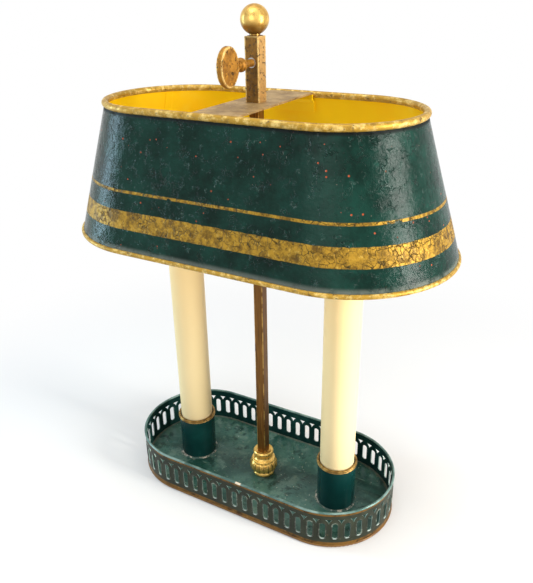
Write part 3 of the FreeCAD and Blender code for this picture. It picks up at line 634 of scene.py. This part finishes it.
def oval_loop(bm, half_length, half_width, height, steps, runs):
    """A closed loop of edges along an oval: a circle pulled apart, with its straight runs divided."""
    before = set(bm.edges)
    made = bmesh.ops.create_circle(bm, segments=steps, radius=half_width)["verts"]
    bmesh.ops.rotate(bm, verts=made, cent=(0, 0, 0), matrix=Matrix.Rotation(math.pi / steps, 3, "Z"))
    pull = half_length - half_width
    for side in (1, -1):
        half = [v for v in made if v.co.x * side > 0]
        bmesh.ops.translate(bm, verts=half, vec=(side * pull, 0, height))
    long_edges = [e for e in bm.edges if e not in before and e.verts[0].co.x * e.verts[1].co.x < 0]
    bmesh.ops.subdivide_edges(bm, edges=long_edges, cuts=runs)
    return [e for e in bm.edges if e not in before]


def shade_half(z):
    """Half the length and half the width of the shade's sheet at a height, at the middle of its thickness."""
    top = middle_line("shade_top_bead")
    foot = middle_line("shade_bottom_bead")
    flare = 1.3 * MM
    hollow = 1.6
    cove_top = SHADE_FOOT + 4.6 * MM
    share = min(1.0, (SHADE_TOP - z) / (SHADE_TOP - cove_top))
    out = flare * max(0.0, (cove_top - z) / (cove_top - SHADE_FOOT)) ** hollow
    return [a + (b - flare - a) * share + out for a, b in zip(top, foot)]


def ripple(place, size):
    """How far hand-beaten sheet stands in or out at a place."""
    broad = noise.noise(Vector((place.x * 14, place.y * 14, place.z * 22)))
    dents = noise.noise(Vector((place.x * 52, place.y * 52, place.z * 60 + 9)))
    return size * (broad * 0.8 + dents * 0.45)


class PieceOperator:
    """What every piece's operator shares."""

    bl_options = {"REGISTER", "UNDO"}

    @property
    def sizes(self):
        """The sizes a user can change."""
        return bpy.context.scene.lamp_sizes

    @property
    def colours(self):
        """The colours a user can change."""
        return bpy.context.scene.lamp_colours


class LAMP_OT_shade_skin(PieceOperator, bpy.types.Operator):
    """The shade's beaten sheet, crackled green outside and yellow inside"""

    bl_idname = "lamp.shade_skin"
    bl_label = "Shade skin"

    def execute(self, context):
        sizes = self.sizes
        bm = bmesh.new()
        loops = []
        for drop in (0, 6, 14, *range(22, 95, 9), 100, 103.5, 105.5, 107, 108.2, 109.2):
            z = SHADE_TOP - drop * MM
            half_length, half_width = shade_half(z)
            loops.append(oval_loop(bm, half_length, half_width, z, 168, 47))
        for upper, lower in zip(loops, loops[1:]):
            bmesh.ops.bridge_loops(bm, edges=upper + lower)
        bmesh.ops.recalc_face_normals(bm, faces=bm.faces)
        bm.normal_update()
        calm = 8 * MM
        for vert in bm.verts:
            fade = min(1.0, (SHADE_TOP - vert.co.z) / calm, (vert.co.z - SHADE_FOOT) / calm)
            vert.co += vert.normal * ripple(vert.co, sizes.shade_ripple) * fade
        centre = Vector((0, 0, (SHADE_TOP + SHADE_FOOT) / 2))
        sample = next(iter(bm.faces))
        if sample.normal.dot(sample.calc_center_median() - centre) < 0:
            bmesh.ops.reverse_faces(bm, faces=bm.faces)
        paints = [shade_outside(sizes, self.colours), shade_inside(self.colours)]
        skin = new_piece(bm, "shade_skin", "shade", "shade_shell", paints, "shade_shell")
        modify(skin, "SUBSURF", "smooth sheet", levels=1, render_levels=1)
        modify(skin, "SOLIDIFY", "sheet", thickness=0.8 * MM, offset=0.0, material_offset=1,
               material_offset_rim=0, use_even_offset=True)
        return {"FINISHED"}


class LAMP_OT_shade_seam(PieceOperator, bpy.types.Operator):
    """The lap inside the shade's wall, where the sheet's two ends are soldered"""

    bl_idname = "lamp.shade_seam"
    bl_label = "Shade seam"

    def execute(self, context):
        bm = bmesh.new()
        bmesh.ops.create_grid(bm, x_segments=6, y_segments=22, size=0.5)
        top = SHADE_TOP - 3.2 * MM
        foot = SHADE_FOOT + 2.4 * MM
        width = 7 * MM
        behind_skin = 0.62 * MM
        seam_turn = math.radians(138)
        for vert in bm.verts:
            z = foot + (top - foot) * (vert.co.y + 0.5)
            half_length, half_width = shade_half(z)
            radius = half_width - behind_skin
            turn = seam_turn + vert.co.x * width / radius
            vert.co = Vector((half_width - half_length + radius * math.cos(turn), radius * math.sin(turn), z))
        bmesh.ops.recalc_face_normals(bm, faces=bm.faces)
        bm.normal_update()
        if next(iter(bm.faces)).normal.y > 0:
            bmesh.ops.reverse_faces(bm, faces=bm.faces)
        seam = new_piece(bm, "shade_seam", "shade", "shade_shell", shade_inside(self.colours))
        modify(seam, "SOLIDIFY", "sheet", thickness=0.55 * MM, offset=0.0)
        soften(seam, 0.12 * MM)
        return {"FINISHED"}


def wall_place(distance):
    """A place at a distance round the middle of the gallery's wall, from the middle of its front."""
    half_length, half_width = middle_line("gallery_rim_bead")
    straight = half_length - half_width
    arc = math.pi * half_width
    distance %= wall_length()

    def place(x, turn):
        """A place on the wall: at x along the straight, turned about there."""
        front = Matrix.Translation((0, -half_width, 0))
        return Matrix.Translation((x, 0, 0)) @ Matrix.Rotation(turn, 4, "Z") @ front

    if distance < straight:
        return place(distance, 0)
    if distance < straight + arc:
        return place(straight, (distance - straight) / half_width)
    if distance < 3 * straight + arc:
        return place(2 * straight + arc - distance, math.pi)
    if distance < 3 * straight + 2 * arc:
        return place(-straight, math.pi + (distance - 3 * straight - arc) / half_width)
    return place(distance - 4 * straight - 2 * arc, 0)


def wall_length():
    """The distance round the middle of the gallery's wall."""
    half_length, half_width = middle_line("gallery_rim_bead")
    return 4 * (half_length - half_width) + 2 * math.pi * half_width


def dress(material, *nodes):
    """Gives a finish to pieces of the construction that are shown as they are."""
    for node in nodes:
        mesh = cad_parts[node].data
        mesh.materials.clear()
        mesh.materials.append(material)


def both(*nodes):
    """The names of a pair of pieces, left and right."""
    return [f"{node}_{side}" for node in nodes for side in SIDES]


class LAMP_OT_shade_edges(PieceOperator, bpy.types.Operator):
    """Gilding on the shade's two rolled edges"""

    bl_idname = "lamp.shade_edges"
    bl_label = "Shade edges"

    def execute(self, context):
        dress(edge_gilt(self.colours), "shade_top_bead", "shade_bottom_bead")
        return {"FINISHED"}


class LAMP_OT_shade_mount(PieceOperator, bpy.types.Operator):
    """The strip across the shade, the sleeve that slides on the rod, and its bush"""

    bl_idname = "lamp.shade_mount"
    bl_label = "Shade mount"

    def execute(self, context):
        dress(aged_plate(self.colours), "shade_bridge")
        lo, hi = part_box("shade_sleeve")

        def rubbed_corners(f):
            """The sleeve's four upright corners and its top edge."""
            corners = f.step(abs(f.x) + abs(f.y), 10.6 * MM, 11.6 * MM)
            return corners.at_least(f.step(f.z, hi.z - 1.4 * MM, hi.z))

        def lit_sides(f):
            """The sleeve's left and right sides, painted paler than its front and back as painted light from
            the sides.
            """
            return f.step(abs(f.x), 5.0 * MM, 5.4 * MM) * (0.45 + f.cloud(150, 5) * 0.7)

        cast = pitted_bronze("sleeve_bronze", (0.24, 0.115, 0.018), (0.085, 0.040, 0.006), 0.04,
                             rubbed_corners, lit_sides)
        bm = bmesh.new()
        bmesh.ops.create_cube(bm, size=1)
        bmesh.ops.scale(bm, verts=bm.verts, vec=hi - lo)
        bmesh.ops.translate(bm, verts=bm.verts, vec=(lo + hi) / 2)
        ends = [face for face in bm.faces if abs(face.normal.z) > 0.5]
        bmesh.ops.delete(bm, geom=ends, context="FACES_ONLY")
        upright = [e for e in bm.edges if abs((e.verts[0].co - e.verts[1].co).z) > MM]
        bmesh.ops.subdivide_edges(bm, edges=upright, cuts=31, use_grid_fill=True)
        level = [e for e in bm.edges if abs((e.verts[0].co - e.verts[1].co).z) < 0.1 * MM]
        bmesh.ops.subdivide_edges(bm, edges=level, cuts=7, use_grid_fill=True)
        roughness = 0.30 * MM
        for vert in bm.verts:
            inwards = Vector((-vert.co.x, -vert.co.y, 0)).normalized()
            vert.co += inwards * (roughness * abs(noise.noise(vert.co * 180)))
        smoothed(bm)
        sleeve = new_piece(bm, "sleeve_casting", "shade", "shade_sleeve", cast, "shade_sleeve")
        modify(sleeve, "SOLIDIFY", "wall", thickness=1.2 * MM, offset=-1.0)
        soften(sleeve, 0.35 * MM, angle=50)
        dress(plain_metal("bush_steel", (0.50, 0.50, 0.50), 0.35), "sleeve_bush")
        return {"FINISHED"}


class LAMP_OT_key(PieceOperator, bpy.types.Operator):
    """The turned key: a hammered oval leaf on a beaded screw with a brass pad at its tip"""

    bl_idname = "lamp.key"
    bl_label = "Key"

    def execute(self, context):
        lo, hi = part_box("key_paddle")
        half = Vector(((hi.x - lo.x) / 2, 12 * MM, (hi.z - lo.z) / 2))
        centre = Vector((0, lo.y + half.y, (lo.z + hi.z) / 2))

        def rubbed_rim(f):
            """The bright edge where the leaf's faces meet its rim."""
            out_y = (f.y - centre.y) / half.y
            out_z = (f.z - centre.z) / half.z
            out = (out_y * out_y + out_z * out_z) ** 0.5
            edge = f.step(out, 0.86, 0.93) * f.step(abs(f.x), 1.3 * MM, 2.1 * MM)
            return edge * f.step(f.y, centre.y + half.y, centre.y + 9 * MM)

        bronze = pitted_bronze("key_bronze", (0.42, 0.190, 0.020), (0.210, 0.085, 0.007), 0.06, rubbed_rim)
        rim_share = 0.34
        rim_bulge = 0.05
        face_crown = 0.14
        bm = bmesh.new()
        bmesh.ops.create_uvsphere(bm, u_segments=72, v_segments=48, radius=1)
        bmesh.ops.rotate(bm, verts=bm.verts, cent=(0, 0, 0), matrix=Matrix.Rotation(math.pi / 2, 3, "Y"))
        for vert in bm.verts:
            level = math.asin(max(-1.0, min(1.0, vert.co.x))) / (math.pi / 2)
            if abs(level) > rim_share:
                spread = min(1.0, (1 - abs(level)) / (1 - rim_share))
                deep = math.copysign(1 - face_crown + face_crown * spread ** 2, level)
            else:
                deep = level / rim_share
                spread = 1 - rim_bulge * abs(deep) ** 4
            spread /= max(math.hypot(vert.co.y, vert.co.z), 1e-6)
            place = (deep * half.x, vert.co.y * spread * half.y, vert.co.z * spread * half.z)
            vert.co = Vector(place) + centre
        bm.normal_update()
        for vert in bm.verts:
            mark = noise.noise(vert.co * 240) * 0.6 + noise.noise(vert.co * 520) * 0.4
            vert.co -= vert.normal * (self.sizes.hammer_depth * (0.5 + mark))
        leaf_end = centre.y + half.y
        web_start = centre.y + 8 * MM
        web_half = 7 * MM
        for vert in bm.verts:
            near = 1 - min(1.0, abs(vert.co.z - centre.z) / web_half)
            if vert.co.y > web_start and near > 0:
                pull = (vert.co.y - web_start) / (leaf_end - web_start)
                vert.co.y += (hi.y - 0.1 * MM - leaf_end) * pull * near
        smoothed(bm)
        new_piece(bm, "key_leaf", "key", "key_paddle", bronze, "key_paddle")
        dress(bronze, "key_screw")
        dress(polished_brass("pad_brass", self.colours, 0.3), "tip_pad")
        return {"FINISHED"}


class LAMP_OT_tray(PieceOperator, bpy.types.Operator):
    """The tray's floor with its felt, weight and cord inlet, and the solder round the candle cups"""

    bl_idname = "lamp.tray"
    bl_label = "Tray"

    def execute(self, context):
        sizes, colours = self.sizes, self.colours
        dress(felt(), "felt_pad")
        dress(cast_iron(), "ballast_plate")
        dress(tray_paint(colours), "tray_floor")
        dress(plain_metal("inlet_brass", (0.62, 0.42, 0.16), 0.3), "cord_inlet_bush")
        floor = high("tray_floor").z
        for side in SIDES:
            lo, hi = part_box(f"candle_cup_{side}")
            radius = (hi.x - lo.x) / 2
            outline = [(radius + out * MM, floor + up * MM) for out, up in (
                (-0.3, 1.1), (0.25, 0.75), (0.8, 0.32), (1.7, 0.08), (1.9, -0.05), (-0.3, -0.05))]
            bm = turned(outline + outline[:1], 72, (lo.x + hi.x) / 2)
            new_piece(bm, f"cup_solder_{side}", "base", "tray_floor", solder())
        return {"FINISHED"}


class LAMP_OT_gallery(PieceOperator, bpy.types.Operator):
    """The pierced wall round the tray, its rolled edges, and the lips raised round its slots"""

    bl_idname = "lamp.gallery"
    bl_label = "Gallery"

    def execute(self, context):
        sizes, colours = self.sizes, self.colours
        dress(gallery_paint(sizes, colours), "gallery_wall")
        dress(rim_paint(colours), "gallery_rim_bead", "gallery_foot_bead")
        half_sheet = (high("gallery_wall").x - high("tray_floor").x) / 2
        half_slot = sizes.slot_width / 2
        half_height = (sizes.slot_top - sizes.slot_foot) / 2
        middle_z = (sizes.slot_top + sizes.slot_foot) / 2
        pitch = wall_length() / sizes.slot_count
        bm = bmesh.new()
        loops = []
        for out, rise in ((0, 0), (0.35 * MM, sizes.lip_height), (0.8 * MM, sizes.lip_height * 0.8),
                          (1.1 * MM, -0.15 * MM)):
            loops.append(oval_loop(bm, half_height + out, half_slot + out, rise, 12, 1))
        for inner, outer in zip(loops, loops[1:]):
            bmesh.ops.bridge_loops(bm, edges=inner + outer)
        bmesh.ops.recalc_face_normals(bm, faces=bm.faces)
        bm.normal_update()
        top = max(bm.faces, key=lambda face: abs(face.normal.z))
        if top.normal.z < 0:
            bmesh.ops.reverse_faces(bm, faces=bm.faces)
        lip = bm.verts[:]
        whole_lip = lip + bm.edges[:] + bm.faces[:]
        upright = Matrix.Rotation(math.pi / 2, 4, "X") @ Matrix.Rotation(math.pi / 2, 4, "Z")
        for index in range(sizes.slot_count):
            copied = bmesh.ops.duplicate(bm, geom=whole_lip)["geom"]
            place = (wall_place(sizes.slot_start + index * pitch)
                     @ Matrix.Translation((0, -half_sheet, middle_z)) @ upright)
            verts = [each for each in copied if isinstance(each, bmesh.types.BMVert)]
            bmesh.ops.transform(bm, matrix=place, verts=verts)
        bmesh.ops.delete(bm, geom=lip, context="VERTS")
        new_piece(bm, "slot_lips", "base", "gallery_wall", lip_paint(sizes))
        return {"FINISHED"}


class LAMP_OT_candles(PieceOperator, bpy.types.Operator):
    """The candle cups with their rings, and the candle sleeves"""

    bl_idname = "lamp.candles"
    bl_label = "Candles"

    def execute(self, context):
        dress(cup_enamel(self.colours), *both("candle_cup"))
        dress(antique_gilt(), *both("cup_rim"))
        dress(candle_card(self.colours), *both("candle_tube"))
        return {"FINISHED"}


class LAMP_OT_fittings(PieceOperator, bpy.types.Operator):
    """The pipes, nuts, holders, bulbs and leads inside the candles and under the tray"""

    bl_idname = "lamp.fittings"
    bl_label = "Fittings"

    def execute(self, context):
        dress(plain_metal("zinc_steel", (0.58, 0.57, 0.54), 0.32), "stem_washer", "stem_nut", "finial_stud",
              *both("riser_pipe", "riser_nut", "cup_nut"))
        dress(moulded("holder_body", (0.025, 0.024, 0.023), 0.42), *both("lampholder"))
        dress(plain_metal("socket_shell_brass", (0.72, 0.52, 0.22), 0.28),
              *both("screw_shell", "centre_contact"))
        dress(plain_metal("bulb_cap_metal", (0.66, 0.64, 0.60), 0.25), *both("bulb_cap"))
        dress(clear_glass(), *both("bulb_glass"))
        dress(filament(), *both("bulb_filament"))
        dress(moulded("lead_cover", (0.30, 0.22, 0.12), 0.5), *both("supply_lead"))
        return {"FINISHED"}


class LAMP_OT_stem(PieceOperator, bpy.types.Operator):
    """The square rod, the turned boss with its row of beads, and the ball on top"""

    bl_idname = "lamp.stem"
    bl_label = "Stem"

    def execute(self, context):
        foot = low("stem_boss").z

        def grooves(f):
            """Where the boss has gone brown with age, between its rounded ribs."""
            turn = f.sum_of("ARCTAN2", f.y, f.x)
            dark = f.step(f.sum_of("COSINE", turn * 18.0), 0.45, 0.98)
            return (dark * f.step(f.z, foot + 4 * MM, foot + 6 * MM)
                    * f.step(f.z, foot + 16.8 * MM, foot + 15.6 * MM)) * 0.7

        brass = polished_brass("boss_brass", self.colours, 0.25, grooves)
        dress(rod_brass(self.colours), "stem_rod")
        dress(brass, "stem_boss")
        ball = middle("ball_finial").z

        def shade_and_reflections(f):
            """The ball's underside and neck darkened brown as painted shade, with brown streaks above as
            painted reflections.
            """
            # painted shade: the ball's underside and neck are darker brown
            under = f.step(f.ragged(f.z, 5 * MM, 70, 4), ball + 1 * MM, ball - 7 * MM)
            # painted reflections: brown upright streaks on the ball
            streaks = f.patches(0.50, 0.66, 140, 5, 0.6, f.stretched(1.0, 1.0, 0.3))
            return (under * 0.85).at_least(streaks * 0.55)

        dress(polished_brass("ball_brass", self.colours, 0.75, shade_and_reflections), "ball_finial")
        bm = bmesh.new()
        count = 56
        first = Matrix.Translation((self.sizes.beading_radius, 0, foot + self.sizes.beading_height))
        for index in range(count):
            place = Matrix.Rotation(math.tau * index / count, 4, "Z") @ first
            bmesh.ops.create_uvsphere(bm, u_segments=10, v_segments=7, radius=0.6 * MM, matrix=place)
        smoothed(bm)
        new_piece(bm, "boss_beading", "base", "stem_boss", brass)
        return {"FINISHED"}


class LAMP_OT_stage(PieceOperator, bpy.types.Operator):
    """A plain pale floor, soft lamps, a white surround and the camera"""

    bl_idname = "lamp.stage"
    bl_label = "Stage"

    def execute(self, context):
        scene = context.scene
        bm = bmesh.new()
        bmesh.ops.create_grid(bm, x_segments=1, y_segments=1, size=6)
        bmesh.ops.translate(bm, verts=bm.verts, vec=(0, 0, -0.1 * MM))
        mesh = bpy.data.meshes.new("floor")
        bm.to_mesh(mesh)
        bm.free()
        floor = bpy.data.objects.new("floor", mesh)
        scene.collection.objects.link(floor)
        mesh.materials.append(pale_floor())
        white_surround(scene)
        soft_lamp("top_lamp", (-0.15, -0.25, 1.65), (1.0, 1.0), 11, (1, 1, 1))
        soft_lamp("front_lamp", (0.15, -1.5, 0.75), (0.9, 0.9), 4.5, (1, 1, 1))
        soft_lamp("right_lamp", (1.2, -0.03, 0.42), (0.26, 0.9), 22, (1.0, 0.97, 0.91))
        soft_lamp("left_lamp", (-1.15, -0.38, 0.36), (0.16, 0.8), 8, (0.55, 0.82, 1.0))
        photo_camera(scene)
        return {"FINISHED"}


def sight(f):
    """1 for the rays that see the surround as plain white: from the camera, in gloss and through glass."""
    camera = f.node("ShaderNodeLightPath", output="Is Camera Ray")
    return camera.at_least(camera.other("Is Glossy Ray")).at_least(camera.other("Is Transmission Ray"))


def pale_floor():
    """A matt pale floor that takes the shadow near by and fades to plain white."""
    f = Finish("pale_floor")
    matt = f.node("ShaderNodeBsdfDiffuse", {}, {"Color": (0.78, 0.78, 0.78)})
    seen = sight(f)
    glow = f.node("ShaderNodeEmission", {}, {"Strength": seen * 0.12})
    near = f.node("ShaderNodeAddShader", {}, {0: matt, 1: glow})
    white = f.node("ShaderNodeEmission", {}, {"Strength": 1.0})
    far = f.step((f.x * f.x + f.y * f.y) ** 0.5, 0.22, 0.60)
    f.node_output(f.node("ShaderNodeMixShader", {}, {0: far * seen, 1: near, 2: white}))
    return f.material


def white_surround(scene):
    """A world that lights evenly and is seen as white."""
    world = bpy.data.worlds.new("surround")
    scene.world = world
    world.use_nodes = True
    world.node_tree.nodes.clear()
    f = Finish("surround", world)
    light = f.node("ShaderNodeBackground", {}, {"Strength": 0.36})
    white = f.node("ShaderNodeBackground", {}, {"Strength": 1.0})
    for each in (light, white):
        each.socket.node.inputs["Color"].default_value = (1, 1, 1, 1)
    seen = f.node("ShaderNodeMixShader", {}, {0: sight(f), 1: light, 2: white})
    out = f.tree.nodes.new("ShaderNodeOutputWorld")
    f.tree.links.new(seen.socket, out.inputs["Surface"])


def soft_lamp(name, place, size, watts, tint):
    """A soft studio light, aimed at the object's middle."""
    data = bpy.data.lights.new(name, "AREA")
    data.shape = "RECTANGLE"
    data.size, data.size_y = size
    data.energy = watts
    data.color = tint
    lamp = bpy.data.objects.new(name, data)
    lamp.location = place
    aim = Vector((0, 0, 0.25)) - Vector(place)
    lamp.rotation_mode = "QUATERNION"
    lamp.rotation_quaternion = aim.to_track_quat("-Z", "Y")
    bpy.context.scene.collection.objects.link(lamp)


def photo_camera(scene):
    """The camera, at the place and angle that the object is seen from."""
    data = bpy.data.cameras.new("camera")
    data.sensor_width = 36
    data.lens = 39.4926
    data.clip_start = 0.01
    data.clip_end = 100
    camera = bpy.data.objects.new("camera", data)
    scene.collection.objects.link(camera)
    right = Vector((0.87357175, 0.48648507, -0.01430628))
    up = Vector((-0.19827607, 0.38257767, 0.90239732))
    back = Vector((0.44447609, -0.78547222, 0.43066739))
    turn = Matrix((right, up, back)).transposed().to_4x4()
    camera.matrix_world = Matrix.Translation((0.2620728, -0.4515345, 0.4611662)) @ turn
    scene.camera = camera


OPERATORS = (
    LAMP_OT_tray,
    LAMP_OT_gallery,
    LAMP_OT_candles,
    LAMP_OT_fittings,
    LAMP_OT_stem,
    LAMP_OT_shade_skin,
    LAMP_OT_shade_seam,
    LAMP_OT_shade_edges,
    LAMP_OT_shade_mount,
    LAMP_OT_key,
    LAMP_OT_stage,
)


class LAMP_PT_pieces(bpy.types.Panel):
    """Lists the operators that build the lamp"""

    bl_idname = "LAMP_PT_pieces"
    bl_label = "Bouillotte lamp"
    bl_space_type = "VIEW_3D"
    bl_region_type = "UI"
    bl_category = "Lamp"

    def draw(self, context):
        for operator in OPERATORS:
            self.layout.operator(operator.bl_idname)


CLASSES = (LampSizes, LampColours, *OPERATORS, LAMP_PT_pieces)


def register():
    for each in CLASSES:
        bpy.utils.register_class(each)
    bpy.types.Scene.lamp_sizes = bpy.props.PointerProperty(type=LampSizes)
    bpy.types.Scene.lamp_colours = bpy.props.PointerProperty(type=LampColours)


def unregister():
    del bpy.types.Scene.lamp_colours
    del bpy.types.Scene.lamp_sizes
    for each in reversed(CLASSES):
        bpy.utils.unregister_class(each)


def main():
    """Builds every piece in order."""
    register()
    bpy.context.scene.view_settings.view_transform = "Standard"
    for operator in OPERATORS:
        getattr(bpy.ops.lamp, operator.bl_idname.split(".")[1])()


if __name__ == "__main__":
    main()
